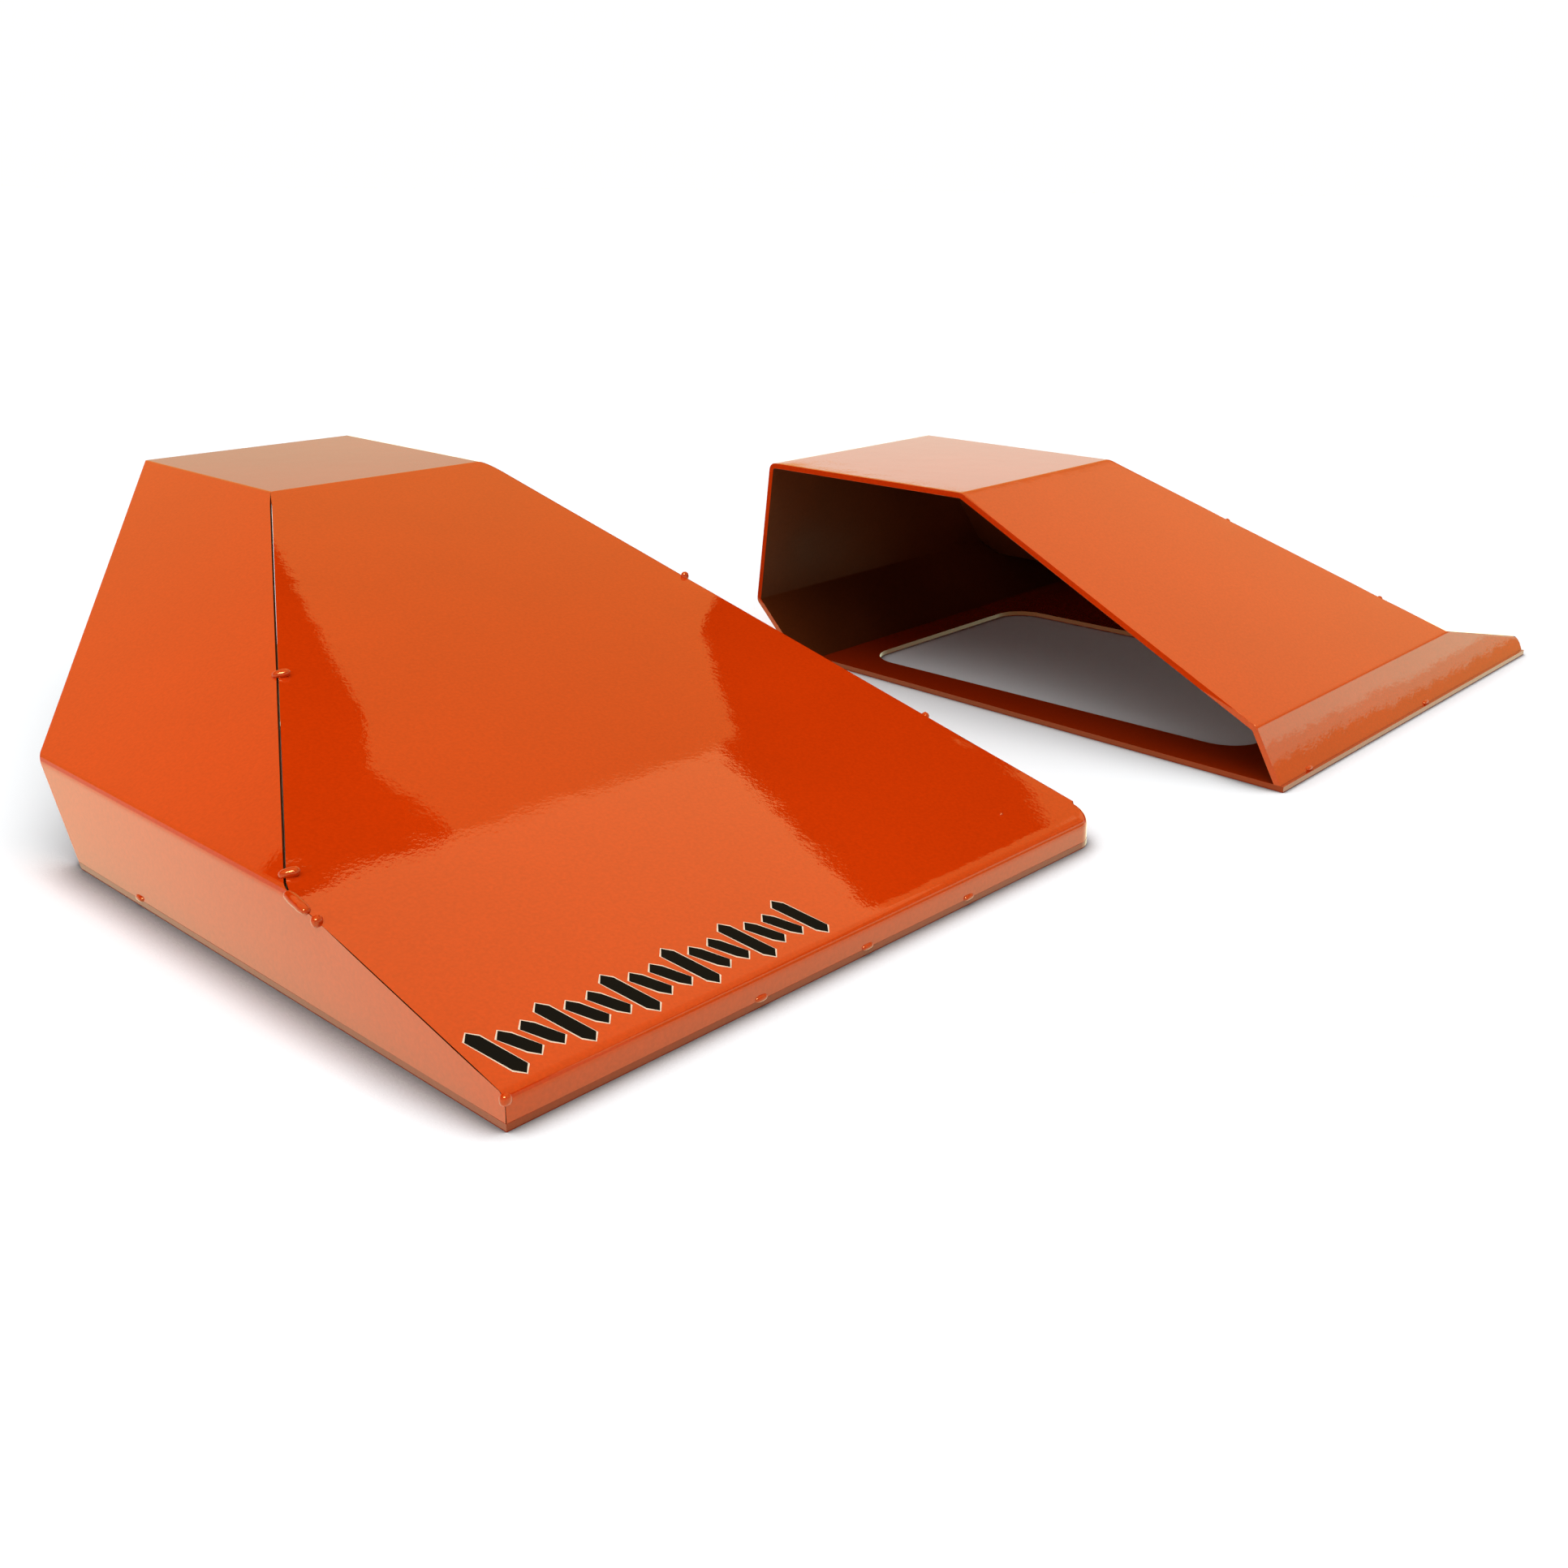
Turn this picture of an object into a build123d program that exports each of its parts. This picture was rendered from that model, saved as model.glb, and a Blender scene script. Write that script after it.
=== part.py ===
from build123d import *
from math import hypot
import os

# Pair of ramp wedges folded from 3 mm steel sheet and tack-welded to laser-cut base plates.
# Each wedge is modelled in its own frame: X across its width, Y from its lip to its back, Z up, floor at 0.
# The pair is then moved so that the origin is on the floor, in the middle of the pair's plan.

# Shared by both wedges, in millimetres
SHEET = 3.0
BEND_R = 4.5
HEIGHT = 121.0
WIDTH = 334.0
DECK_DEPTH = 139.0
REACH = 300.0

# Long wedge
LONG_NOSE = 13.2
LONG_RUN = 430.0
LONG_CURB = 44.0
LONG_FACET_RUN = 183.0
LONG_DECK_RIGHT = 324.0
LONG_MOUTH_CURB = 323.0
LONG_MOUTH_FOOT = 295.0
LONG_MOUTH_LEAN = 28.0
LONG_CORNER_R = 12.0

# Short wedge
SHORT_LIP = (17.3, 30.0)
SHORT_RUN = 200.0
SHORT_BACK_KNEE = (349.0, 35.7)
SHORT_DECK_WIDTH = 152.0
SHORT_FACET_FOOT = (243.0, 30.0)
SHORT_FLANGE = (338.0, 10.0)
SHORT_MOUTH_SKEW = 16.0
SHORT_PLACE = (450.5, -30.8)
SHORT_TURN = 1.58

# Seams, welds and the vinyl graphic
WIDE_SEAM = 1.4
NARROW_SEAM = 0.5
TACK_R = 2.4
VINYL = 0.15
GRAPHIC_LENGTH = 156.0
GRAPHIC_HEIGHT = 27.0
BARS = 16
BAR_WIDTH = 7.0
BAR_SLANT = 5.0
BAR_POINT = 3.5
SHORT_BAR_DROP = 4.5

# Openings in the base plates
HOLE_R = 20.0
SHORT_HOLE = [(35, 40), (200, 40), (200, 292), (38, 292)]
LONG_HOLE = [(42, 42), (292, 42), (292, 500), (250, 500), (42, 277)]


def extended(chain):
    """The chain of points with its first and last run drawn on past their ends by REACH."""
    (x0, z0), (x1, z1) = chain[0], chain[1]
    (x2, z2), (x3, z3) = chain[-2], chain[-1]
    first = REACH / hypot(x1 - x0, z1 - z0)
    last = REACH / hypot(x3 - x2, z3 - z2)
    start = (x0 - (x1 - x0) * first, z0 - (z1 - z0) * first)
    end = (x3 + (x3 - x2) * last, z3 + (z3 - z2) * last)
    return [start, *chain[1:-1], end]


def section(chain, hollows, inset):
    """Closed face under a bent chain of points, its bends rounded, drawn in by inset."""
    points = extended(chain)
    corners = [(points[0][0], -REACH), *points, (points[-1][0], -REACH)]
    corners = [p for i, p in enumerate(corners) if i == 0 or p != corners[i - 1]]
    face = make_face(Polyline(*corners, close=True))
    for x, z in chain[1:-1]:
        bend = min(face.vertices(), key=lambda v: hypot(v.X - x, v.Y - z))
        face = fillet(bend, BEND_R - SHEET if (x, z) in hollows else BEND_R)
    return offset(face, -inset) if inset else face


def across_x(face):
    """The face's first coordinate is Y: drawn out along X."""
    return extrude(Plane.YZ.offset(-REACH) * face, WIDTH + 2 * REACH)


def across_y(face):
    """The face's first coordinate is X: drawn out along Y."""
    upright = Plane(origin=(0, -REACH, 0), x_dir=(1, 0, 0), z_dir=(0, -1, 0))
    return extrude(upright * face, -(LONG_RUN + DECK_DEPTH + 2 * REACH))


def below(solid, point, normal):
    """What lies behind the plane through the point."""
    return split(solid, Plane(origin=point, z_dir=normal), keep=Keep.BOTTOM)


def slit(start, end, normal, gap):
    """A thin box along a seam from start to end, sunk through the sheet along the normal."""
    start, end = Vector(*start), Vector(*end)
    middle = (start + end) / 2
    along = Plane(origin=middle, x_dir=end - start, z_dir=normal)
    return along * Box((end - start).length, gap, 6 * SHEET)


def tack(point, stretch=(0, 0, 0)):
    """A small weld bead at a point, fused a little way into the sheets, drawn out along stretch."""
    length = hypot(*stretch)
    if length == 0:
        return Pos(*point) * Sphere(TACK_R)
    half = (
        ThreePointArc((0, -TACK_R), (TACK_R * 0.6, -TACK_R * 0.8), (TACK_R, 0))
        + Line((TACK_R, 0), (TACK_R, length))
        + ThreePointArc((TACK_R, length), (TACK_R * 0.6, length + TACK_R * 0.8), (0, length + TACK_R))
        + Line((0, length + TACK_R), (0, -TACK_R))
    )
    rod = revolve(Plane.XZ * make_face(half), Axis.Z)
    return Plane(origin=point, z_dir=stretch) * rod


def rounded_hole(points, radius):
    """A through cutter with rounded corners for a base plate."""
    face = make_face(Polyline(*points, close=True))
    face = fillet(face.vertices(), radius)
    return extrude(Pos(0, 0, -SHEET) * face, 3 * SHEET)


# Long wedge: sheet -----------------------------------------------------------------------------

slope_rise = (HEIGHT - LONG_NOSE) / LONG_RUN
facet_rise = (HEIGHT - LONG_CURB) / LONG_FACET_RUN
long_back = LONG_RUN + DECK_DEPTH
long_front = [(0, 0), (0, LONG_NOSE), (LONG_RUN, HEIGHT), (long_back, HEIGHT)]
long_side = [(0, 0), (0, LONG_CURB), (LONG_FACET_RUN, HEIGHT), (LONG_DECK_RIGHT, HEIGHT), (WIDTH, 0)]

# The mouth is cut by one slanted plane through the side wall's and the facet's back edges,
# and by a second that leans in under the deck's back edge.
mouth_foot = Vector(0, LONG_MOUTH_FOOT, 0)
mouth_knee = Vector(0, LONG_MOUTH_CURB, LONG_CURB)
mouth_top = Vector(LONG_FACET_RUN, long_back, HEIGHT)
mouth_normal = (mouth_knee - mouth_foot).cross(mouth_top - mouth_knee)
if mouth_normal.Y < 0:
    mouth_normal = -mouth_normal
back_normal = Vector(0, HEIGHT, -LONG_MOUTH_LEAN)


def long_trim(solid):
    """Cuts a piece of the long wedge back to its mouth."""
    solid = below(solid, mouth_foot, mouth_normal)
    return below(solid, mouth_top, back_normal)


def long_plan(inset):
    """Plan of the long wedge, its nose rounded at the right-hand corner."""
    plan = make_face(Polyline((0, 0), (WIDTH, 0), (WIDTH, 2 * long_back), (0, 2 * long_back), close=True))
    front_right = max(plan.vertices(), key=lambda v: v.X - v.Y)
    plan = fillet(front_right, LONG_CORNER_R)
    return offset(plan, -inset) if inset else plan


def long_block(inset):
    """The long wedge's outside, or its inside when drawn in by the sheet."""
    block = across_x(section(long_front, (), inset)) & across_y(section(long_side, (), inset))
    return block & extrude(Pos(0, 0, -REACH) * long_plan(inset), 2 * REACH)


# Seams: the slope meets the facet, the side wall and the right-hand wall
seam_top = (LONG_FACET_RUN, LONG_RUN, HEIGHT)
seam_knee = (0, (LONG_CURB - LONG_NOSE) / slope_rise, LONG_CURB)
seam_nose = (0, 0, LONG_NOSE)
right_top = (LONG_DECK_RIGHT, LONG_RUN, HEIGHT)
right_foot = (WIDTH, LONG_CORNER_R, LONG_NOSE + slope_rise * LONG_CORNER_R)
long_seams = [
    slit(seam_top, seam_knee, (-facet_rise, -slope_rise, 2), WIDE_SEAM),
    slit(seam_knee, seam_nose, (-1, -slope_rise, 1), NARROW_SEAM),
    slit(right_top, right_foot, (1, -slope_rise, 1), NARROW_SEAM),
]

long_shell = long_block(0) - long_block(SHEET)
long_shell = long_trim(below(long_shell, (0, 0, SHEET), (0, 0, -1)))
for seam in long_seams:
    long_shell = long_shell - seam

# Base plate: it reaches the outside of the walls, so its cut edge shows all round
long_base = long_trim(extrude(long_plan(0), SHEET))
long_base = long_base - rounded_hole(LONG_HOLE, HOLE_R)


# Long wedge: welds and graphic ------------------------------------------------------------------

def on_line(start, end, share):
    """The point at a share of the way from start to end."""
    start, end = Vector(*start), Vector(*end)
    return tuple(start + (end - start) * share)


across_seam = (3.0, -1.5, 0.5)
seam_beads = [tack(on_line(seam_top, seam_knee, share), across_seam) for share in (0.56, 0.97)]
bead_run = (0, -9.5, -2.4)
corner_beads = [tack(on_line(seam_knee, seam_nose, 0.02), bead_run), tack(on_line(seam_knee, seam_nose, 0.16))]
nose_beads = [tack((1, 1, LONG_NOSE - 2))]
right_beads = [tack(on_line(right_top, right_foot, 0.40))]
right_beads += [Pos(0.6, 0, -1.6) * tack(on_line(right_top, right_foot, 0.79))]
foot_z = SHEET + 0.5
base_beads = [tack((0, 240, foot_z))]
base_beads += [tack((x, 0, foot_z)) for x in (114, 173, 237)]
base_beads += [tack((WIDTH, y, foot_z)) for y in (150, 330, 480)]

# The vinyl graphic lies on the slope: a row of slanted bars with pointed ends, every third one tall
slope_frame = Plane(origin=(4, 4, LONG_NOSE + 4 * slope_rise), x_dir=(1, 0, 0), z_dir=(0, -slope_rise, 1))


def bar(index):
    """Outline of one slanted bar."""
    left = index * (GRAPHIC_LENGTH - BAR_WIDTH - BAR_SLANT) / (BARS - 1)
    foot = 0 if index % 3 == 0 else SHORT_BAR_DROP
    top = GRAPHIC_HEIGHT - foot
    right = left + BAR_WIDTH
    middle = left + BAR_WIDTH / 2
    return [
        (left + BAR_SLANT, foot + BAR_POINT),
        (middle + BAR_SLANT, foot),
        (right + BAR_SLANT, foot + BAR_POINT),
        (right, top - BAR_POINT),
        (middle, top),
        (left, top - BAR_POINT),
    ]


graphic = [
    slope_frame * extrude(make_face(Polyline(*bar(index), close=True)), VINYL) for index in range(BARS)
]

# Short wedge: sheet -----------------------------------------------------------------------------

short_back = SHORT_RUN + DECK_DEPTH
knee_y, knee_z = SHORT_BACK_KNEE
bevel_foot = (knee_y - knee_z, 0)
short_front = [(0, 0), SHORT_LIP, (SHORT_RUN, HEIGHT), (short_back, HEIGHT), SHORT_BACK_KNEE, bevel_foot]
short_side = [(-1, HEIGHT), (SHORT_DECK_WIDTH, HEIGHT), SHORT_FACET_FOOT, SHORT_FLANGE, (WIDTH, 0)]


def short_block(inset):
    """The short wedge's outside, or its inside when drawn in by the sheet."""
    return across_x(section(short_front, (), inset)) & across_y(section(short_side, (SHORT_FACET_FOOT,), inset))


facet_top = (SHORT_DECK_WIDTH, SHORT_RUN, HEIGHT)
facet_foot = (SHORT_FACET_FOOT[0], *SHORT_LIP)
facet_seam = slit(facet_top, facet_foot, (1, -0.5, 1.5), NARROW_SEAM)

short_shell = short_block(0) - short_block(SHEET)
short_shell = below(short_shell, (0, 0, SHEET), (0, 0, -1))
short_shell = below(short_shell, (0, 0, 0), (-1, 0, 0)) - facet_seam

plate_back = bevel_foot[0] + SHEET
short_corners = [(0, 0), (WIDTH, 0), (WIDTH, plate_back), (SHORT_MOUTH_SKEW, plate_back)]
short_base = extrude(make_face(Polyline(*short_corners, close=True)), SHEET)
short_base = short_base - rounded_hole(SHORT_HOLE, HOLE_R)

# Short wedge: welds
short_seam_beads = [Pos(1.4, 0, -2.4) * tack(on_line(facet_top, facet_foot, share)) for share in (0.35, 0.8)]
short_base_beads = [tack((x, SHORT_LIP[0] * foot_z / SHORT_LIP[1], foot_z)) for x in (31, 180)]
short_base_beads += [tack((WIDTH + 1, y, foot_z)) for y in (90, 230)]

# The pair ---------------------------------------------------------------------------------------

long_nodes = {
    "long_shell": long_shell,
    "long_base": long_base,
    "long_facet_tacks": Compound(seam_beads),
    "long_corner_bead": Compound(corner_beads),
    "long_nose_tack": Compound(nose_beads),
    "long_right_tacks": Compound(right_beads),
    "long_base_tacks": Compound(base_beads),
    "long_graphic": Compound(graphic),
}
short_nodes = {
    "short_shell": short_shell,
    "short_base": short_base,
    "short_seam_tacks": Compound(short_seam_beads),
    "short_base_tacks": Compound(short_base_beads),
}
place = Pos(*SHORT_PLACE, 0) * Rot(0, 0, SHORT_TURN)
pair = {**long_nodes, **{name: place * node for name, node in short_nodes.items()}}
box = Compound([solid for node in pair.values() for solid in node.solids()]).bounding_box()
to_origin = Pos(-(box.min.X + box.max.X) / 2, -(box.min.Y + box.max.Y) / 2, 0)

os.makedirs("parts", exist_ok=True)
for name, node in pair.items():
    export_step(to_origin * node, f"parts/{name}.step")
print("origin moved by", to_origin.position, "size", box.size)
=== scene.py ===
import bmesh
import bpy
import numpy as np
from mathutils import Matrix


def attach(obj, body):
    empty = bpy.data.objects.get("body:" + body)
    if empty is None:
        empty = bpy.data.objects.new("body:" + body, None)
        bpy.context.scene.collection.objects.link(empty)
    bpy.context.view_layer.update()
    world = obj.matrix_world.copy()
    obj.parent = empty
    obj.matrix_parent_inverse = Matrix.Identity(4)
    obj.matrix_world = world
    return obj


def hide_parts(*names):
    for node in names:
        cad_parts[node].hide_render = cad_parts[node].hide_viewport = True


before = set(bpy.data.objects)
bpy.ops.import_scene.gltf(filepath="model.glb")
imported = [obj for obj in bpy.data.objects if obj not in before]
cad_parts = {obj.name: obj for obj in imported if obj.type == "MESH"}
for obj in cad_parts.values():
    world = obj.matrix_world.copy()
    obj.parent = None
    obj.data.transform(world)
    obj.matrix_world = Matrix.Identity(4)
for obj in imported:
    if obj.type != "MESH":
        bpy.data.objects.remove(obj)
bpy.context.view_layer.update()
scene = bpy.context.scene


# Powder coat on folded steel -------------------------------------------------------------------
# Gloss orange powder, sprayed on bare 3 mm sheet and baked. The skin shows fine orange peel, and
# lies a little thicker and paler in some places than in others. Every folded panel wears it.
ORANGE = (0.50, 0.031, 0.0008)
# The dark brown on the next line is painted shade, for the wedges' insides and the seam sides.
SHADE_BROWN = (0.10, 0.020, 0.004)
WARM_GLEAM = (1.0, 0.72, 0.42, 1)
DRIFT_SCALE, PATCH_SCALE, FLOW_SCALE, PEEL_SCALE, FLECK_SCALE = 7.0, 26.0, 60.0, 520.0, 700.0
MIX_FACTOR, MIX_A, MIX_B, MIX_RESULT = 0, 6, 7, 2


def shader_of(name):
    """A new material, its node tree and its principled shader."""
    material = bpy.data.materials.new(name)
    material.use_nodes = True
    return material, material.node_tree, material.node_tree.nodes["Principled BSDF"]


def noise(tree, place, scale, detail):
    """Noise on the object's own coordinates, in cycles a metre."""
    node = tree.nodes.new("ShaderNodeTexNoise")
    node.inputs["Scale"].default_value = scale
    node.inputs["Detail"].default_value = detail
    tree.links.new(place.outputs["Object"], node.inputs["Vector"])
    return node.outputs["Fac"]


def ranged(tree, source, low, high):
    """The source's 0 to 1 spread from low to high."""
    node = tree.nodes.new("ShaderNodeMapRange")
    node.inputs["To Min"].default_value = low
    node.inputs["To Max"].default_value = high
    tree.links.new(source, node.inputs["Value"])
    return node.outputs["Result"]


def bumped(tree, height, strength, distance):
    """A bump node that reads a height."""
    node = tree.nodes.new("ShaderNodeBump")
    node.inputs["Strength"].default_value = strength
    node.inputs["Distance"].default_value = distance
    tree.links.new(height, node.inputs["Height"])
    return node


def powder_coat(name, colour, roughness, peel, drift=0.05, level=0.5):
    """Powder coat: the colour is a slow noise's drift times a fine fleck, the gloss follows
    another noise, and a bump of fine noise over a coarser one makes the orange peel."""
    material, tree, shader = shader_of(name)
    new, link = tree.nodes.new, tree.links.new
    place = new("ShaderNodeTexCoord")
    tone = new("ShaderNodeValToRGB")
    ends = tone.color_ramp.elements
    ends[0].position, ends[1].position = 0.3, 0.7
    ends[0].color = (*[c * (1 - drift) for c in colour], 1)
    ends[1].color = (*[c * (1 + drift) for c in colour], 1)
    link(noise(tree, place, DRIFT_SCALE, 3.0), tone.inputs["Fac"])
    fleck = new("ShaderNodeCombineColor")
    bright = ranged(tree, noise(tree, place, FLECK_SCALE, 3.0), 0.82, 1.18)
    for channel in ("Red", "Green", "Blue"):
        link(bright, fleck.inputs[channel])
    flecked = new("ShaderNodeMix")
    flecked.data_type, flecked.blend_type = "RGBA", "MULTIPLY"
    flecked.inputs[MIX_FACTOR].default_value = 1.0
    link(tone.outputs["Color"], flecked.inputs[MIX_A])
    link(fleck.outputs["Color"], flecked.inputs[MIX_B])
    link(flecked.outputs[MIX_RESULT], shader.inputs["Base Color"])
    patchy = noise(tree, place, PATCH_SCALE, 4.0)
    link(ranged(tree, patchy, roughness * 0.6, roughness * 1.4), shader.inputs["Roughness"])
    skin = bumped(tree, noise(tree, place, PEEL_SCALE, 2.0), peel, 0.0003)
    flow = bumped(tree, noise(tree, place, FLOW_SCALE, 1.0), 0.04, 0.001)
    link(flow.outputs["Normal"], skin.inputs["Normal"])
    link(skin.outputs["Normal"], shader.inputs["Normal"])
    shader.inputs["IOR"].default_value = 1.5
    shader.inputs["Specular Tint"].default_value = WARM_GLEAM
    shader.inputs["Specular IOR Level"].default_value = level
    return material


coat = powder_coat("orange_powder_coat", ORANGE, 0.012, 0.035)
# Insides and seam sides get a dark brown, dull coat that barely reflects: painted shade there.
shade_coat = powder_coat("painted_shade_inside", SHADE_BROWN, 0.45, 0.25, drift=0.3, level=0.06)

# The long wedge's folded sheet -----------------------------------------------------------------
# One sheet of 3 mm steel: nose flange, slope and deck in one run from front to back, with the
# side wall and facet folded down on the left and a plain wall on the right. Edges that meet are
# butted and tacked, so they stay as seams. All sizes are in millimetres in the wedge's own frame.
SHEET, BEND_R, HEIGHT = 3.0, 4.5, 121.0
PAIR_MIDDLE = (392.1, 269.1)
FLANGE_TOP, DECK_START, DECK_END, KNEE = 13.2, 430, 569, 44
LONG_FRONT = [(0, SHEET), (0, FLANGE_TOP), (DECK_START, HEIGHT), (DECK_END, HEIGHT)]
LONG_SIDE = [(0, SHEET), (0, KNEE), (183, HEIGHT), (324, HEIGHT), (333.752, SHEET)]
LONG_MOUTH = np.array([(0, 295, 0), (0, 323, KNEE), (183, DECK_END, HEIGHT)], float)
MOUTH_LEAN, NOSE_R, RIGHT_OF_MOUTH = 28.0, 12.0, 300
SLOPE_RISE = (HEIGHT - FLANGE_TOP) / DECK_START
LONG_TACKS = np.array([
    (80.5, 257.9, 77.9), (5.5, 132, 46.3), (0, 100, 38),
    (1, 1, 13), (328, 263, 79), (332.5, 75, 32),
])
SPRING, DIP, DIP_SPREAD = 0.10, 0.18, 7.0
SLOPE_GAP = [(3, 0.3), (40, 0.3), (50, 0.7), (117, 0.7), (120.6, 0)]
WALL_GAP = [(3, 0.3), (13, 0.3), (16, 1.2), (44, 1.2), (48, 0.9), (117, 0.9), (120.6, 0)]
RIGHT_GAP = [(3, 0.2), (117, 0.3), (120.6, 0)]
INNER_GAP = 0.15
PAINTED_EDGE = 0.0004


def bent_line(chain, counts, arc_count=7):
    """Points and outward normals along a bent chain. A straight run is evenly divided. At a bend
    the normal turns evenly, and the point is the arc's centre plus or minus its radius along it."""
    chain = np.array(chain, float)
    way = np.diff(chain, axis=0)
    way /= np.linalg.norm(way, axis=1)[:, None]
    side = np.stack([-way[:, 1], way[:, 0]], 1)
    turn = way[:-1, 0] * way[1:, 1] - way[:-1, 1] * way[1:, 0]
    angle = np.arctan2(turn, (way[:-1] * way[1:]).sum(1))
    radius = np.where(angle < 0, BEND_R, BEND_R - SHEET)
    cut = np.concatenate([[0], radius * np.tan(np.abs(angle) / 2), [0]])
    points, normals, runs = [], [], []
    for run, count in enumerate(counts):
        share = np.linspace(0, 1, count)[:, None]
        first = chain[run] + way[run] * cut[run]
        last = chain[run + 1] - way[run] * cut[run + 1]
        start = sum(len(p) for p in points)
        runs.append((start, start + count))
        points.append(first + (last - first) * share)
        normals.append(np.repeat(side[run][None], count, 0))
        if run < len(angle):
            turned = angle[run] * np.linspace(0, 1, arc_count)[1:-1]
            arc = np.stack([
                side[run][0] * np.cos(turned) - side[run][1] * np.sin(turned),
                side[run][0] * np.sin(turned) + side[run][1] * np.cos(turned),
            ], 1)
            reach = radius[run] * -np.sign(angle[run])
            points.append(last - side[run] * reach + arc * reach)
            normals.append(arc)
    return np.concatenate(points), np.concatenate(normals), runs


def drawn_in(line, outwards, runs, depth):
    """The line moved in by depth, with each end run that comes down to the base plate cut level
    on it."""
    inner = line - outwards * depth
    for (start, stop), foot, knee in ((runs[0], 0, -1), (runs[-1], -1, 0)):
        run = inner[start:stop]
        if abs(run[foot, 1] - SHEET) < 2 * SHEET:
            high = run[knee].copy()
            low = high + (run[foot] - high) * (high[1] - SHEET) / (high[1] - run[foot, 1])
            share = np.linspace(0, 1, stop - start)[:, None]
            inner[start:stop] = low + (high - low) * (share if foot == 0 else 1 - share)
    return inner


def unevenness(points, tacks):
    """How far a panel lies below flat: slow sine waves for the spring of the sheet, and a shallow
    round dip about each tack, where the weld has drawn it in. Always inwards."""
    x, y, z = np.moveaxis(points, -1, 0)
    wave = np.sin(x / 47 + y / 97 + 0.6) * np.sin(y / 59 - x / 131 + z / 43 + 1.1)
    away = ((points[..., None, :] - tacks) ** 2).sum(-1)
    return SPRING * (wave - 1) / 2 - DIP * np.exp(-away / (2 * DIP_SPREAD ** 2)).sum(-1)


def skin_pair(make, tacks):
    """A panel's outside and inside as two grids of points, each shifted by its unevenness."""
    pair = []
    for depth in (0.0, SHEET):
        points, normals = make(depth)
        pair.append(points + normals * unevenness(points, tacks)[..., None])
    return pair


def quads_between(first, second):
    """Quads between two rows of point numbers, or two stacks of rows: each number, the next one
    along, and the two across from them in the second."""
    ring = [first[..., :-1], first[..., 1:], second[..., 1:], second[..., :-1]]
    return np.stack(ring, -1).reshape(-1, 4)


def panel(outside, inside, closed, seams):
    """Faces of a panel with thickness: its outer grid, its inner grid turned round, and strips
    along its four edges, apart from the stretches that another panel joins. The slot flag marks
    the inner faces, and the strips in the seams, for the dark brown coat: painted shade inside
    the wedge and down the seams."""
    rows, columns = outside.shape[:2]
    index = np.arange(rows * columns).reshape(rows, columns)
    under = index + rows * columns
    outer = quads_between(index[:-1], index[1:])
    inner = quads_between(under[:-1], under[1:])[:, [0, 3, 2, 1]]
    quads, face_slots = [outer, inner], [np.zeros(len(outer), int), np.ones(len(inner), int)]
    edges = [(0, slice(None)), (-1, slice(None)), (slice(None), 0), (slice(None), -1)]
    for number, (edge, keep) in enumerate(zip(edges, closed)):
        strip = quads_between(index[edge], under[edge])
        quads.append(strip[np.broadcast_to(keep, len(strip))])
        face_slots.append(np.full(len(quads[-1]), int(number in seams)))
    corners = np.concatenate([outside.reshape(-1, 3), inside.reshape(-1, 3)])
    return corners, np.concatenate(quads), np.concatenate(face_slots)


def to_pair(points, place=(0, 0), turn=0.0):
    """A wedge's own millimetres to the pair's metres: turned, moved, centred, scaled."""
    c, s = np.cos(np.radians(turn)), np.sin(np.radians(turn))
    x, y, z = points.T
    across = place[0] + x * c - y * s - PAIR_MIDDLE[0]
    along = place[1] + x * s + y * c - PAIR_MIDDLE[1]
    return np.stack([across, along, z], 1) / 1000


def made_object(name, corners, faces, face_slots, materials):
    """A mesh object from quads: doubles merged, collapsed faces dropped, faces turned outwards."""
    mesh = bpy.data.meshes.new(name)
    mesh.from_pydata(corners.tolist(), [], faces.tolist())
    mesh.polygons.foreach_set("material_index", face_slots.astype(np.int32))
    for material in materials:
        mesh.materials.append(material)
    shape = bmesh.new()
    shape.from_mesh(mesh)
    bmesh.ops.remove_doubles(shape, verts=shape.verts, dist=2e-6)
    bmesh.ops.dissolve_degenerate(shape, edges=shape.edges, dist=1e-7)
    bmesh.ops.recalc_face_normals(shape, faces=shape.faces)
    shape.to_mesh(mesh)
    shape.free()
    mesh.polygons.foreach_set("use_smooth", np.ones(len(mesh.polygons), bool))
    obj = bpy.data.objects.new(name, mesh)
    scene.collection.objects.link(obj)
    return obj


def eased_edges(obj):
    """Cut edges broken and rounded by the paint, with the flat faces' shading kept flat."""
    bevel = obj.modifiers.new("paint_rounded_edges", "BEVEL")
    bevel.width, bevel.segments = PAINTED_EDGE, 2
    bevel.limit_method, bevel.angle_limit = "ANGLE", np.radians(38)
    bevel.harden_normals = False
    flat = obj.modifiers.new("flat_panels", "WEIGHTED_NORMAL")
    flat.keep_sharp = False


def joined(panels):
    """Several panels' corners, faces and slot flags as one list of each."""
    starts = np.cumsum([0] + [len(p[0]) for p in panels[:-1]])
    return (
        np.concatenate([p[0] for p in panels]),
        np.concatenate([p[1] + start for p, start in zip(panels, starts)]),
        np.concatenate([p[2] for p in panels]),
    )


def seam_gap(z, knots, depth):
    """A seam's width at each height of the outer skin, read off a line of (height, width) knots.
    Inside it is a small share of that, so that no light comes through."""
    width = np.interp(z + depth, [k[0] for k in knots], [k[1] for k in knots])
    return width * (INNER_GAP if depth else 1.0)


def carried(line, outwards, y):
    """Points and normals of a panel made by carrying a side line of (x, z) along its rows of y."""
    x, z = (np.repeat(part[:, None], y.shape[1], 1) for part in line.T)
    points = np.stack([x, y, z], -1)
    normals = np.zeros_like(points)
    normals[..., ::2] = outwards[:, None]
    return points, normals


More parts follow.
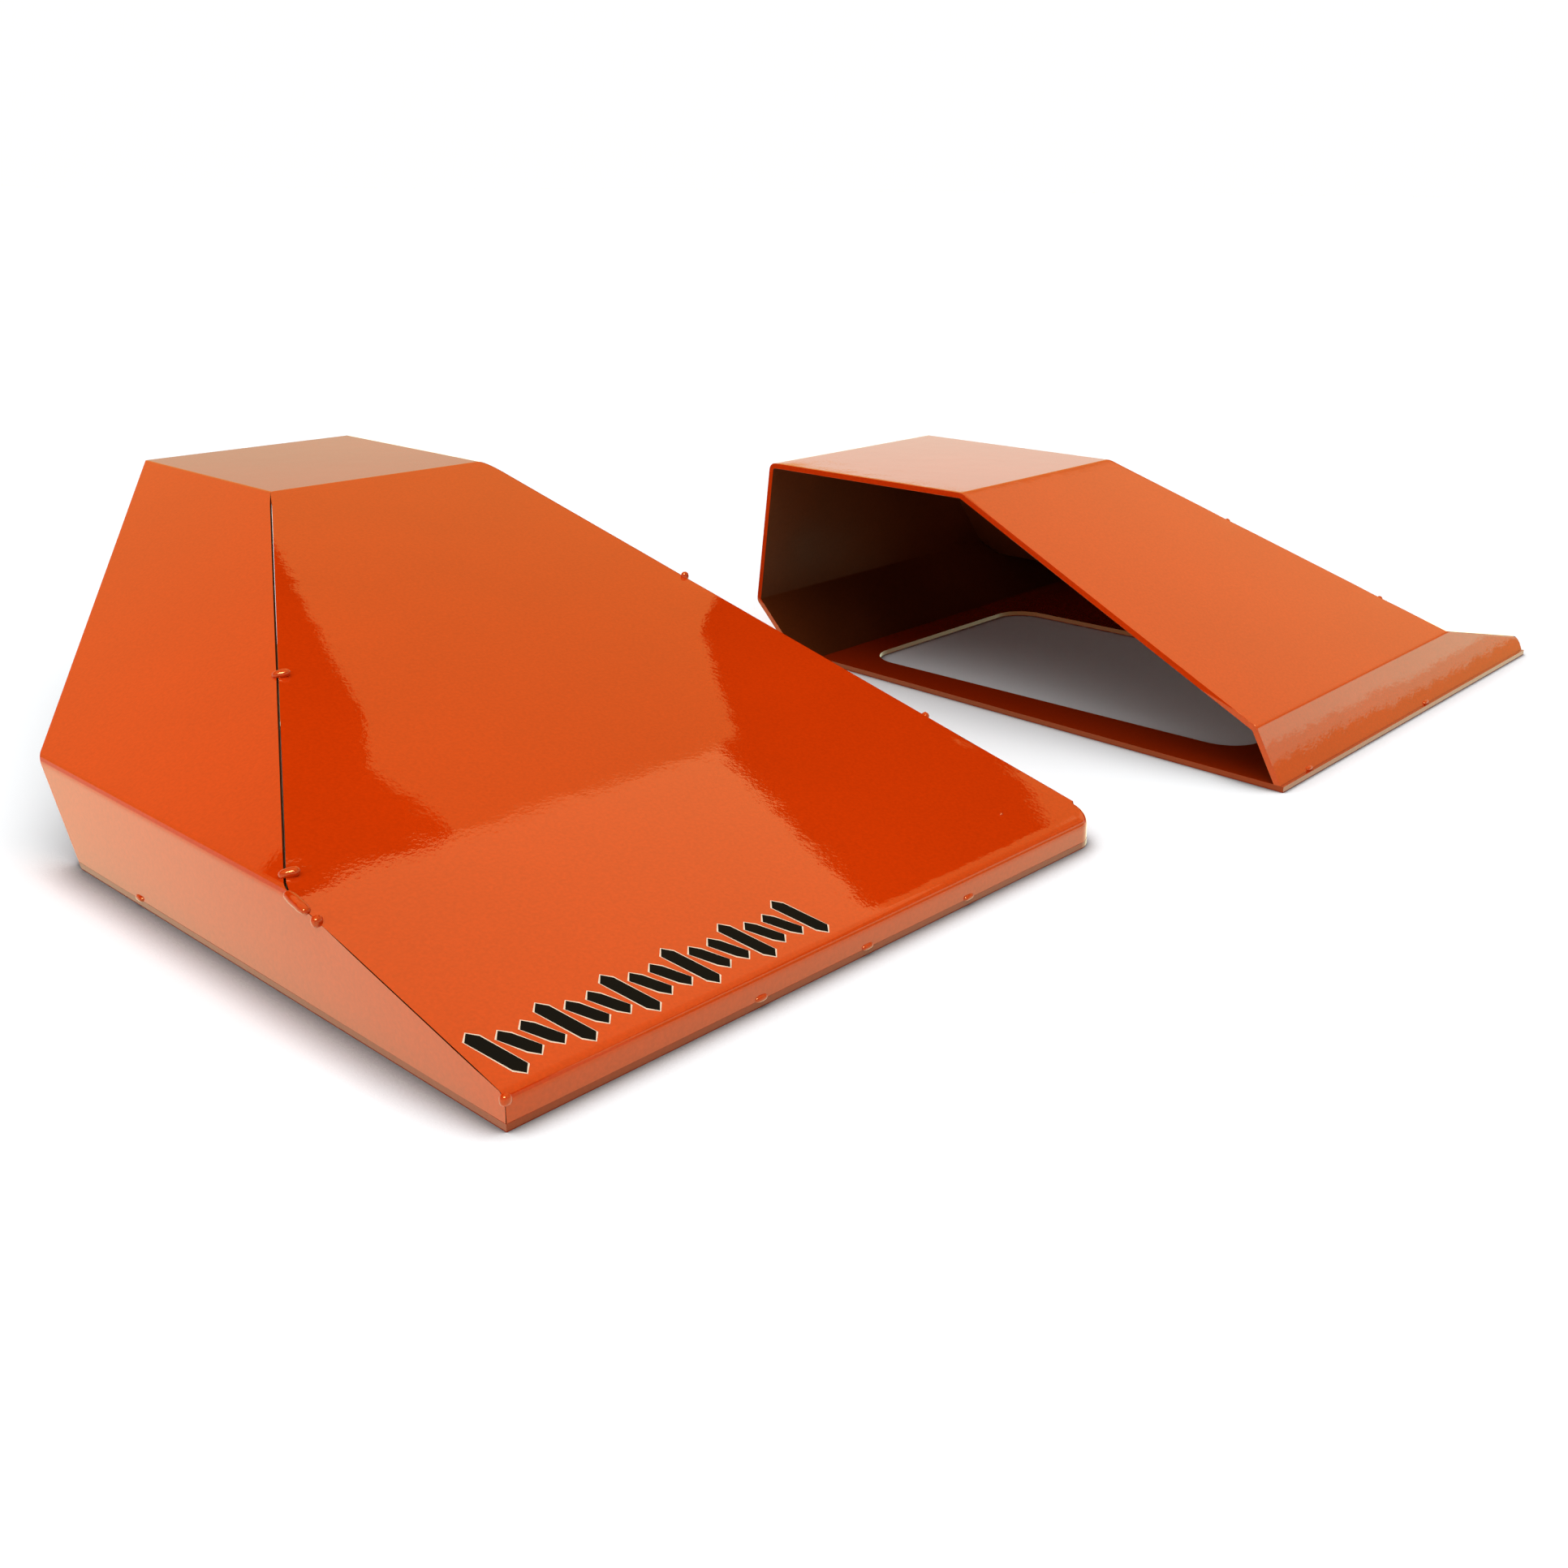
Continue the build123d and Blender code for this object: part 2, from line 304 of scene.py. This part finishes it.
long_a, long_a_out, long_a_runs = bent_line(LONG_FRONT, (6, 90, 30))
long_b, long_b_out, long_b_runs = bent_line(LONG_SIDE, (26, 46, 2, 30))
A_SLOPE, A_DECK = long_a_runs[1][0], long_a_runs[2][0]
B_DECK = long_b_runs[2][0]
B_RIGHT = B_DECK + 1
WALL_COLUMNS = len(long_a) - A_DECK
RUN_COLUMNS, CORNER_COLUMNS = 64, 12


def long_profiles(depth):
    """The front-to-back line and the side-to-side line, drawn in by depth."""
    a = drawn_in(long_a, long_a_out, long_a_runs, depth)
    b = drawn_in(long_b, long_b_out, long_b_runs, depth)
    reach = DECK_END - MOUTH_LEAN * depth / HEIGHT
    a[A_DECK:, 0] = np.linspace(a[A_DECK, 0], reach, WALL_COLUMNS)
    return a, b


def long_run(depth):
    """Flange, slope and deck: each row of the front line is carried across from the left line to
    the right line at its own height. In front, the last columns go round the plan corner, as
    (NOSE_R sin t, NOSE_R - NOSE_R cos t), and climb with the slope's rise."""
    a, b = long_profiles(depth)
    y, z = a.T
    left = np.interp(z, b[:B_DECK + 1, 1], b[:B_DECK + 1, 0]) + seam_gap(z, SLOPE_GAP, depth)
    right = np.interp(-z, -b[B_RIGHT:, 1], b[B_RIGHT:, 0])
    middle = right - NOSE_R
    main = left[:, None] + (middle - left)[:, None] * np.linspace(0, 1, RUN_COLUMNS)
    around = np.radians(np.linspace(0, 90, CORNER_COLUMNS + 1)[1:])
    at_seam = np.arange(CORNER_COLUMNS) == CORNER_COLUMNS - 1
    inset = np.minimum(y, y[A_SLOPE])
    arm = np.where(y < NOSE_R, NOSE_R - inset, NOSE_R)[:, None]
    x_corner = middle[:, None] + arm * np.sin(around)
    x_corner = x_corner - seam_gap(z, RIGHT_GAP, depth)[:, None] * at_seam
    reach = (NOSE_R - inset)[:, None]
    y_corner = np.maximum(NOSE_R - reach * np.cos(around), y[:, None])
    on_slope = np.arange(len(y)) >= A_SLOPE
    raised = np.where(on_slope, 1.0, np.clip((z - SHEET) / (2 * SHEET), 0, 1))[:, None]
    climb = np.where(on_slope[:, None], y_corner - y[:, None], reach * (1 - np.cos(around)))
    z_corner = z[:, None] + SLOPE_RISE * climb * raised
    y_main, z_main = (np.repeat(part[:, None], RUN_COLUMNS, 1) for part in (y, z))
    points = np.concatenate([
        np.stack([main, y_main, z_main], -1), np.stack([x_corner, y_corner, z_corner], -1),
    ], 1)
    normals = np.zeros_like(points)
    normals[..., 1:] = long_a_out[:, None]
    normals[:A_SLOPE, RUN_COLUMNS:] = 0
    return points, normals


def mouth(x, z):
    """Where the mouth cuts a panel off: the nearer of its two planes, as y."""
    across = np.cross(LONG_MOUTH[1] - LONG_MOUTH[0], LONG_MOUTH[2] - LONG_MOUTH[1])
    slanted = LONG_MOUTH[0, 1] - (across[0] * x + across[2] * z) / across[1]
    return np.minimum(slanted, DECK_END - MOUTH_LEAN * (HEIGHT - z) / HEIGHT)


def long_left(depth):
    """Side wall and facet: each point of the left line is carried back from the slope to the
    mouth, as front + (mouth - front) * share."""
    a, b = long_profiles(depth)
    x, z = b[:B_DECK + 1].T
    front = np.interp(z, a[:A_DECK + 1, 1], a[:A_DECK + 1, 0]) + seam_gap(z, WALL_GAP, depth)
    share = np.linspace(0, 1, WALL_COLUMNS)
    y = front[:, None] + (mouth(x, z) - front)[:, None] * share
    return carried(b[:B_DECK + 1], long_b_out[:B_DECK + 1], y)


def long_right(depth):
    """The right-hand wall, carried back in the same way from the slope or the rounded corner to
    the mouth."""
    a, b = long_profiles(depth)
    z = b[B_RIGHT:, 1]
    front = np.interp(z, a[:A_DECK + 1, 1], a[:A_DECK + 1, 0])
    front = np.maximum(front, NOSE_R) + seam_gap(z, RIGHT_GAP, depth)
    share = np.linspace(0, 1, WALL_COLUMNS)
    y = front[:, None] + (mouth(RIGHT_OF_MOUTH, z) - front)[:, None] * share
    return carried(b[B_RIGHT:], long_b_out[B_RIGHT:], y)


below_deck = np.arange(len(long_a) - 1) < A_DECK
long_sheet = joined([
    panel(*skin_pair(long_run, LONG_TACKS), (True, True, below_deck, below_deck), seams=(2, 3)),
    panel(*skin_pair(long_left, LONG_TACKS), (True, False, True, True), seams=(2,)),
    panel(*skin_pair(long_right, LONG_TACKS), (False, True, True, True), seams=(2,)),
])
long_corners = to_pair(long_sheet[0])
long_shell = made_object("long_folded_sheet", long_corners, *long_sheet[1:], [coat, shade_coat])
eased_edges(long_shell)
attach(long_shell, "long_wedge")
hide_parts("long_shell")

# The short wedge's folded sheet ----------------------------------------------------------------
# The same 3 mm sheet in one run: steep lip, slope, deck, back wall and a bevel under it. Its left
# side is open, and on the right a facet, an apron and a low flange are folded down.
SHORT_PLACE, SHORT_TURN = (450.5, -30.8), 1.58
LIP_TOP = (17.3, 30)
SHORT_FRONT = [
    (1.73, SHEET), LIP_TOP, (200, HEIGHT), (339, HEIGHT), (349, 35.7), (316.3, SHEET),
]
SHORT_SIDE = [(0, HEIGHT), (152, HEIGHT), (243, LIP_TOP[1]), (338, 10), (335.2, SHEET)]
SHORT_TACKS = np.array([(183.9, 136, 89), (224.8, 53.8, 48.2)])
EDGE_GAP = [(3, 0.35), (117, 0.35), (120.6, 0)]
SHORT_COLUMNS = 60

short_a, short_a_out, short_a_runs = bent_line(SHORT_FRONT, (16, 70, 40, 30, 16))
short_b, short_b_out, short_b_runs = bent_line(SHORT_SIDE, (2, 50, 30, 4))
S_DECK, S_DECK_END = short_a_runs[2]
S_FALL = short_b_runs[0][1] - 1


def short_lines(depth):
    """The short wedge's front-to-back line, and the part of its side line that falls from the
    deck."""
    a = drawn_in(short_a, short_a_out, short_a_runs, depth)
    return a, drawn_in(short_b, short_b_out, short_b_runs, depth)[S_FALL:]


def short_run(depth):
    """Lip, slope, deck, back wall and bevel: each row runs from the open side to the side line
    at its own height."""
    a, b = short_lines(depth)
    y, z = a.T
    right = np.interp(-z, -b[:, 1], b[:, 0]) - seam_gap(z, EDGE_GAP, depth)
    x = right[:, None] * np.linspace(0, 1, SHORT_COLUMNS)
    y_run, z_run = (np.repeat(part[:, None], SHORT_COLUMNS, 1) for part in (y, z))
    points = np.stack([x, y_run, z_run], -1)
    normals = np.zeros_like(points)
    normals[..., 1:] = short_a_out[:, None]
    return points, normals


def short_right(depth):
    """Facet, apron and flange: each point of the side line is carried from the front line to the
    back line at its own height."""
    a, b = short_lines(depth)
    z = b[:, 1]
    gap = seam_gap(z, EDGE_GAP, depth)
    rise, fall = a[:S_DECK + 1], a[S_DECK_END - 1:]
    front = np.interp(z, rise[:, 1], rise[:, 0]) + gap
    back = np.interp(-z, -fall[:, 1], fall[:, 0]) - gap
    y = front[:, None] + (back - front)[:, None] * np.linspace(0, 1, S_DECK_END - S_DECK)
    return carried(b, short_b_out[S_FALL:], y)


segment = np.arange(len(short_a) - 1)
off_deck = (segment < S_DECK) | (segment >= S_DECK_END - 1)
short_sheet = joined([
    panel(*skin_pair(short_run, SHORT_TACKS), (True, True, True, off_deck), seams=(3,)),
    panel(*skin_pair(short_right, SHORT_TACKS), (False, True, True, True), seams=(2, 3)),
])
short_corners = to_pair(short_sheet[0], SHORT_PLACE, SHORT_TURN)
short_shell = made_object("short_folded_sheet", short_corners, *short_sheet[1:], [coat, shade_coat])
eased_edges(short_shell)
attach(short_shell, "short_wedge")
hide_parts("short_shell")

# Base plates -----------------------------------------------------------------------------------
# Flat 3 mm laser-cut plates with one large rounded opening each, under the walls and as wide as
# them, so that their cut edge shows all round. They keep the frame's shape and take the coat at
# little over half its brightness and with less gloss: painted shade for the dim inside of the
# wedges, which the plates' cut edges outside share.
PLATE_SHADE_ORANGE = tuple(c * 0.55 for c in ORANGE)
plate_shade_coat = powder_coat("plate_painted_shade", PLATE_SHADE_ORANGE, 0.14, 0.12, level=0.3)
for name in ("long_base", "short_base"):
    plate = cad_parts[name]
    plate.data.materials.clear()
    plate.data.materials.append(plate_shade_coat)

# Tack welds ------------------------------------------------------------------------------------
# Short beads of weld that hold the butted edges and the base plates, coated over with the rest.
# Each is a drop drawn out along its run, with the ripples that the weld pool leaves as it sets.
weld_coat = powder_coat("coat_over_weld", tuple(c * 0.95 for c in ORANGE), 0.05, 0.15)
PLATE_BEAD_R, BEAD_FLATNESS, RIPPLE_LENGTH = 1.7, 0.85, 1.5


def bead(centre, run=(0, 0, 0), radius=2.3, lift=(0, 0, 1), seed=0):
    """A drop: a sphere stretched along its run, its radius swelling and shrinking with a slow
    cosine along the run and a smaller one round it."""
    theta = np.linspace(0, np.pi, 27)[:, None]
    phi = np.linspace(0, 2 * np.pi, 37)[None, :-1]
    length = float(np.linalg.norm(run))
    along = np.array(run, float) / length if length else np.array([0.0, 0.0, 1.0])
    aside = np.cross(along, lift if length else (0, 1, 0))
    aside /= np.linalg.norm(aside)
    over = np.cross(along, aside)
    ripples = max(2, round(length / RIPPLE_LENGTH))
    swell = 0.03 * np.cos(theta * ripples * 2 + seed) * np.sin(theta)
    size = radius * (1 + swell + 0.02 * np.cos(3 * phi + seed + theta))
    axis = size * np.cos(theta) + length / 2 * np.tanh(2.5 * np.cos(theta))
    wide = size * np.sin(theta) * np.cos(phi)
    deep = size * np.sin(theta) * np.sin(phi) * BEAD_FLATNESS
    middle = np.array(centre, float) + np.array(run, float) / 2
    return middle + axis[..., None] * along + wide[..., None] * aside + deep[..., None] * over


def rounded(name, drops, place=(0, 0), turn=0.0):
    """Drops as one mesh: each grid is closed round, and its end rows, which are single points,
    collapse to poles."""
    parts = []
    for grid in drops:
        rows, columns = grid.shape[:2]
        index = np.arange(rows * columns).reshape(rows, columns)
        beside = np.roll(index, -1, 1)
        faces = np.stack([index[:-1], index[1:], beside[1:], beside[:-1]], -1).reshape(-1, 4)
        parts.append((grid.reshape(-1, 3), faces, np.zeros(len(faces), int)))
    corners, faces, face_slots = joined(parts)
    return made_object(name, to_pair(corners, place, turn), faces, face_slots, [weld_coat])


def beads(name, node, body, drops, place=(0, 0), turn=0.0):
    """All the beads of one kind as one piece, on their wedge."""
    obj = rounded(name, drops, place, turn)
    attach(obj, body)
    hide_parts(node)


def on_line(start, end, share):
    """The point at a share of the way from start to end."""
    start, end = np.array(start, float), np.array(end, float)
    return start + (end - start) * share


SEAM_TOP, SEAM_KNEE = (183, DECK_START, HEIGHT), (0, 122.8, KNEE)
SEAM_NOSE = (0, 0, FLANGE_TOP)
RIGHT_TOP, RIGHT_FOOT = (324, DECK_START, HEIGHT), (334, 12, 16.2)
FACET_TOP, FACET_FOOT = (152, 200, HEIGHT), (243, *LIP_TOP)
FOOT = SHEET + 0.5
DOWN_THE_WALL, DOWN_THE_FACET = [0.6, 0, -1.6], [1.4, 0, -2.4]
beads("facet_seam_welds", "long_facet_tacks", "long_wedge", [
    bead(on_line(SEAM_TOP, SEAM_KNEE, share), (3.0, -1.5, 0.5), seed=share)
    for share in (0.56, 0.97)
])
beads("corner_weld", "long_corner_bead", "long_wedge", [
    bead(on_line(SEAM_KNEE, SEAM_NOSE, 0.02), (0, -9.5, -2.4), seed=1),
    bead(on_line(SEAM_KNEE, SEAM_NOSE, 0.16), seed=2),
])
beads("nose_weld", "long_nose_tack", "long_wedge", [bead((1, 1, 11.2), seed=3)])
beads("right_wall_welds", "long_right_tacks", "long_wedge", [
    bead(on_line(RIGHT_TOP, RIGHT_FOOT, 0.40), seed=4),
    bead(on_line(RIGHT_TOP, RIGHT_FOOT, 0.79) + DOWN_THE_WALL, seed=7),
])
beads("long_plate_welds", "long_base_tacks", "long_wedge", [
    bead((0.6, 240, FOOT), (0, 3, 0), PLATE_BEAD_R, seed=5),
    *[bead((x, 0.6, FOOT), (3, 0, 0), PLATE_BEAD_R, seed=x) for x in (114, 173, 237)],
    *[bead((333.4, y, FOOT), (0, 3, 0), PLATE_BEAD_R, seed=y) for y in (150, 330, 480)],
])
beads("short_seam_welds", "short_seam_tacks", "short_wedge", [
    bead(on_line(FACET_TOP, FACET_FOOT, share) + DOWN_THE_FACET, seed=share * 7)
    for share in (0.35, 0.8)
], SHORT_PLACE, SHORT_TURN)
beads("short_plate_welds", "short_base_tacks", "short_wedge", [
    *[bead((x, 2.6, FOOT), (3, 0, 0), PLATE_BEAD_R, seed=x) for x in (31, 180)],
    *[bead((334.6, y, FOOT), (0, 3, 0), PLATE_BEAD_R, seed=y) for y in (90, 230)],
], SHORT_PLACE, SHORT_TURN)

# Paint nib -------------------------------------------------------------------------------------
# A single grain of dust caught under the powder near the slope's right-hand front corner. The
# baked coat has drawn over it, so it stands up as a small round pimple of the same orange.
NIB_X, NIB_Y, NIB_R = 291, 23, 0.85
nib = bead((NIB_X, NIB_Y, FLANGE_TOP + NIB_Y * SLOPE_RISE), radius=NIB_R, seed=8)
paint_nib = rounded("paint_nib", [nib])
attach(paint_nib, "long_wedge")

# Vinyl graphic ---------------------------------------------------------------------------------
# A row of slanted black bars with pointed ends, cut from vinyl film with a thin pale keyline and
# stuck on the slope just behind its bend. Every third bar is tall.
BARS, GRAPHIC, MARGIN, KEYLINE = 16, (156.0, 27.0), 4, 0.40
BAR_WIDTH, BAR_SLANT, BAR_POINT, SHORT_BAR_DROP = 7.0, 5.0, 3.5, 4.5
BAR_STEP = (GRAPHIC[0] - BAR_WIDTH - BAR_SLANT) / (BARS - 1)


def bars(inset, lift):
    """Every bar's outline drawn in by inset, as hexagons lying on the slope at a lift above it."""
    number = np.arange(BARS)
    left = number * BAR_STEP + inset
    right, middle = left + BAR_WIDTH - 2 * inset, left + BAR_WIDTH / 2 - inset
    drop = np.where(number % 3 == 0, 0.0, SHORT_BAR_DROP)
    top, foot = GRAPHIC[1] - drop - inset * 1.4, drop + inset * 1.4
    low, high = foot + BAR_POINT, top - BAR_POINT
    slanted = [left + BAR_SLANT, middle + BAR_SLANT, right + BAR_SLANT]
    across = np.stack([*slanted, right, middle, left], 1)
    along = np.stack([low, foot, low, high, top, high], 1)
    cos, sin = 1 / np.hypot(1, SLOPE_RISE), SLOPE_RISE / np.hypot(1, SLOPE_RISE)
    y = MARGIN + along * cos - lift * sin
    z = FLANGE_TOP + MARGIN * SLOPE_RISE + along * sin + lift * cos
    return np.stack([across + MARGIN, y, z], -1)


def film(inset, low, high):
    """The bars as thin plates: two layers of hexagons, split in quads, and a strip round each."""
    top, bottom = bars(inset, high), bars(inset, low)
    corners = np.concatenate([top.reshape(-1, 3), bottom.reshape(-1, 3)])
    first = (np.arange(BARS) * 6)[:, None]
    under = first + BARS * 6
    upper = np.concatenate([first + [0, 1, 2, 3], first + [0, 3, 4, 5]])
    lower = np.concatenate([under + [3, 2, 1, 0], under + [5, 4, 3, 0]])
    ring, beside = np.arange(6), np.roll(np.arange(6), -1)
    strip = np.stack([first + ring, under + ring, under + beside, first + beside], -1)
    return corners, np.concatenate([upper, lower, strip.reshape(-1, 4)])


def vinyl_film(name, colour, roughness):
    """Cast vinyl: a plain colour, a satin gloss that varies, and a fine bump."""
    material, tree, shader = shader_of(name)
    place = tree.nodes.new("ShaderNodeTexCoord")
    shader.inputs["Base Color"].default_value = (*colour, 1)
    grain = noise(tree, place, 240.0, 2.0)
    gloss = ranged(tree, grain, roughness * 0.7, roughness * 1.3)
    tree.links.new(gloss, shader.inputs["Roughness"])
    skin = bumped(tree, grain, 0.1, 0.0002)
    tree.links.new(skin.outputs["Normal"], shader.inputs["Normal"])
    shader.inputs["Specular IOR Level"].default_value = 0.03
    return material


black_film = vinyl_film("black_vinyl", (0.003, 0.003, 0.003), 0.55)
pale_film = vinyl_film("pale_keyline", (0.72, 0.55, 0.40), 0.35)
keyline, face = film(0.0, -0.1, 0.07), film(KEYLINE, 0.05, 0.14)
corners = np.concatenate([keyline[0], face[0]])
faces = np.concatenate([keyline[1], face[1] + len(keyline[0])])
cut = np.repeat([1, 0], [len(keyline[1]), len(face[1])])
graphic = made_object("slanted_bars", to_pair(corners), faces, cut, [black_film, pale_film])
graphic.data.polygons.foreach_set("use_smooth", np.zeros(len(graphic.data.polygons), bool))
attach(graphic, "long_wedge")
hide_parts("long_graphic")

# Floor, light and camera -----------------------------------------------------------------------
# A pale floor under a plain white studio. Flat cards overhead, which only show in reflections,
# stand for the softboxes and the darker room between them that a gloss finish mirrors.
CEILING, GLEAM_HEIGHT = 2.2, 4e-4
BACKDROP_R, BACKDROP_FOOT, BACKDROP_TOP, BACKDROP_SIDES = 20, -0.1, 9.0, 96
FLOOR_COLOUR, SHADOW_REACH = (0.85, 0.87, 0.88, 1), 0.030


def glowing(name, colour):
    """A plain glow."""
    material = bpy.data.materials.new(name)
    material.use_nodes = True
    tree = material.node_tree
    tree.nodes.clear()
    glow = tree.nodes.new("ShaderNodeEmission")
    glow.inputs["Color"].default_value = (*colour, 1)
    out = tree.nodes.new("ShaderNodeOutputMaterial")
    tree.links.new(glow.outputs["Emission"], out.inputs["Surface"])
    return material


def studio_thing(name, corners, faces, material):
    """A mesh object of one material, for the studio."""
    mesh = bpy.data.meshes.new(name)
    mesh.from_pydata(corners, [], faces)
    mesh.materials.append(material)
    obj = bpy.data.objects.new(name, mesh)
    scene.collection.objects.link(obj)
    return obj


def card(name, corners, colour):
    """A flat glowing card, given by its corners, that only reflections show."""
    obj = studio_thing(name, corners, [tuple(range(len(corners)))], glowing(name, colour))
    obj.visible_camera = obj.visible_diffuse = False
    obj.visible_shadow = obj.visible_transmission = False


def overhead(name, outline, drop, colour):
    """A card hung level, at a drop below the ceiling."""
    card(name, [(x, y, CEILING - drop) for x, y in outline], colour)


def upright(name, azimuths, elevations, distance, colour):
    """A card stood upright at a distance, between two azimuths and two elevations in degrees."""
    az, el = np.radians(azimuths), np.radians(elevations)
    ring = distance * np.stack([np.cos(az), np.sin(az)], 1)
    low, high = distance * np.tan(el)
    card(name, [(*ring[0], low), (*ring[1], low), (*ring[1], high), (*ring[0], high)], colour)


def softbox_band(name, low, high, colour):
    """One band, between two heights, of a long low softbox in front of the pair's right end."""
    card(name, [(4, -6.3, low), (26, -6.3, low), (26, -6.3, high), (4, -6.3, high)], colour)


overhead("ceiling_grey", [(-3, -3), (9, -3), (9, 9), (-3, 9)], -0.02, (0.95, 0.66, 0.19))
overhead("dark_corner", [
    (-3, 1.2), (1.31, 1.2), (1.33, 1.45), (1.27, 1.66),
    (1.36, 1.83), (1.42, 2.16), (1.6, 3), (-3, 3),
], -0.01, (0.05, 0.01, 0))
overhead("softbox_near", [(-3, -3), (2.15, -3), (2.15, 1.39), (-3, 1.39)], 0, (2.0, 1.35, 0.55))
overhead("dark_gap", [
    (2.15, 0.75), (2.9, 0.75), (3.4, 2.3), (2.9, 2.3),
    (2.62, 1.92), (2.43, 1.79), (2.23, 1.40), (2.15, 1.39),
], 0.01, (0, 0, 0))
overhead("softbox_right", [(2.9, -1.5), (6, -1.5), (6, 0.72), (2.9, 0.72)], 0.02, (1.4, 1.0, 0.4))
overhead("softbox_left", [(-1, 2.8), (1.0, 2.8), (1.0, 5.5), (-1, 5.5)], 0.02, (1.1, 0.58, 0.18))
upright("far_wall_left", (46, 80), (5.5, 14), 15.0, (0.65, 0.80, 0.55))
softbox_band("low_softbox_top", 2.46, 4.2, (1.3, 2.2, 1.55))
softbox_band("low_softbox_middle", 2.30, 2.46, (1.15, 1.5, 0.9))
softbox_band("low_softbox_foot", 0.2, 2.30, (0.95, 0.85, 0.30))
upright("front_lamp", (205, 243), (38, 56), 1.5, (52, 46, 31))
gleam = [(x, y, GLEAM_HEIGHT) for x, y in ((-20, -20), (20, -20), (20, 20), (-20, 20))]
card("floor_gleam", gleam, (1.95, 2.1, 1.45))

number = np.arange(BACKDROP_SIDES)
beside = np.roll(number, -1)
around = 2 * np.pi * number / BACKDROP_SIDES
ring = BACKDROP_R * np.stack([np.cos(around), np.sin(around)], 1)
wall = np.concatenate([np.insert(ring, 2, z, axis=1) for z in (BACKDROP_FOOT, BACKDROP_TOP)])
bays = np.stack([number, number + BACKDROP_SIDES, beside + BACKDROP_SIDES, beside], 1)
paper = glowing("backdrop_paper", (1.10, 1.22, 1.0))
backdrop = studio_thing("backdrop", wall.tolist(), bays.tolist(), paper)
backdrop.visible_diffuse = backdrop.visible_shadow = False

# Painted contact shadow: an occlusion node darkens the floor's colour within 30 mm of the metal,
# down to a fifth of it where the metal closes round, on top of the shadows the lights cast.
floor_shadow_paint, tree, shader = shader_of("floor_shadow_paint")
occluded = tree.nodes.new("ShaderNodeAmbientOcclusion")
occluded.samples = 8
occluded.inputs["Distance"].default_value = SHADOW_REACH
occluded.inputs["Color"].default_value = (1, 1, 1, 1)
darkened = tree.nodes.new("ShaderNodeMapRange")
darkened.inputs["From Min"].default_value, darkened.inputs["From Max"].default_value = 0.50, 0.90
darkened.inputs["To Min"].default_value, darkened.inputs["To Max"].default_value = 0.20, 1.0
shaded = tree.nodes.new("ShaderNodeMix")
shaded.data_type = "RGBA"
shaded.inputs[MIX_A].default_value, shaded.inputs[MIX_B].default_value = (0, 0, 0, 1), FLOOR_COLOUR
tree.links.new(occluded.outputs["AO"], darkened.inputs["Value"])
tree.links.new(darkened.outputs["Result"], shaded.inputs[MIX_FACTOR])
tree.links.new(shaded.outputs[MIX_RESULT], shader.inputs["Base Color"])
shader.inputs["Roughness"].default_value = 0.9
shader.inputs["Specular IOR Level"].default_value = 0.0
floor_corners = [(-30, -30, 0), (30, -30, 0), (30, 30, 0), (-30, 30, 0)]
floor = studio_thing("floor", floor_corners, [(0, 1, 2, 3)], floor_shadow_paint)

world = bpy.data.worlds.new("studio")
scene.world = world
world.use_nodes = True
tree = world.node_tree
sky = tree.nodes["Background"].inputs
way = tree.nodes.new("ShaderNodeTexCoord")
parts = tree.nodes.new("ShaderNodeSeparateXYZ")
climb = tree.nodes.new("ShaderNodeMapRange")
climb.interpolation_type = "SMOOTHSTEP"
climb.inputs["From Min"].default_value = 0.45
climb.inputs["To Min"].default_value, climb.inputs["To Max"].default_value = 0.10, 2.5
sky["Color"].default_value = (1, 1, 1, 1)
tree.links.new(way.outputs["Generated"], parts.inputs["Vector"])
tree.links.new(parts.outputs["Z"], climb.inputs["Value"])
tree.links.new(climb.outputs["Result"], sky["Strength"])
scene.view_settings.view_transform = "Standard"
scene.view_settings.look = "None"

for name, energy, place, turn in (
    ("left_fill", 32.0, (-3.0, -0.2, 0.62), (0, -82, 0)),
    ("front_fill", 16.0, (0.4, -3.2, 0.7), (82, 0, 0)),
):
    fill = bpy.data.lights.new(name, "AREA")
    fill.size, fill.energy = 1.5, energy
    lamp = bpy.data.objects.new(name, fill)
    lamp.location, lamp.rotation_euler = place, np.radians(turn)
    lamp.visible_glossy = False
    scene.collection.objects.link(lamp)

heading, pitch, roll = np.array([0.7257, 0.6880]), np.radians(20.16), 0.00729
right = np.array([heading[1], -heading[0], 0.0])
forward = np.array([*(heading * np.cos(pitch)), -np.sin(pitch)])
up = np.cross(right, forward)
lens = bpy.data.cameras.new("camera")
lens.lens, lens.sensor_width = 37.87, 36.0
lens.shift_x, lens.shift_y = 0.00725, -0.00872
camera = bpy.data.objects.new("camera", lens)
pose = np.eye(4)
pose[:3, 0] = right * np.cos(roll) + up * np.sin(roll)
pose[:3, 1] = up * np.cos(roll) - right * np.sin(roll)
pose[:3, 2] = -forward
pose[:3, 3] = (-0.6600, -0.6373, 0.2865)
camera.matrix_world = Matrix(pose.tolist())
scene.collection.objects.link(camera)
scene.camera = camera
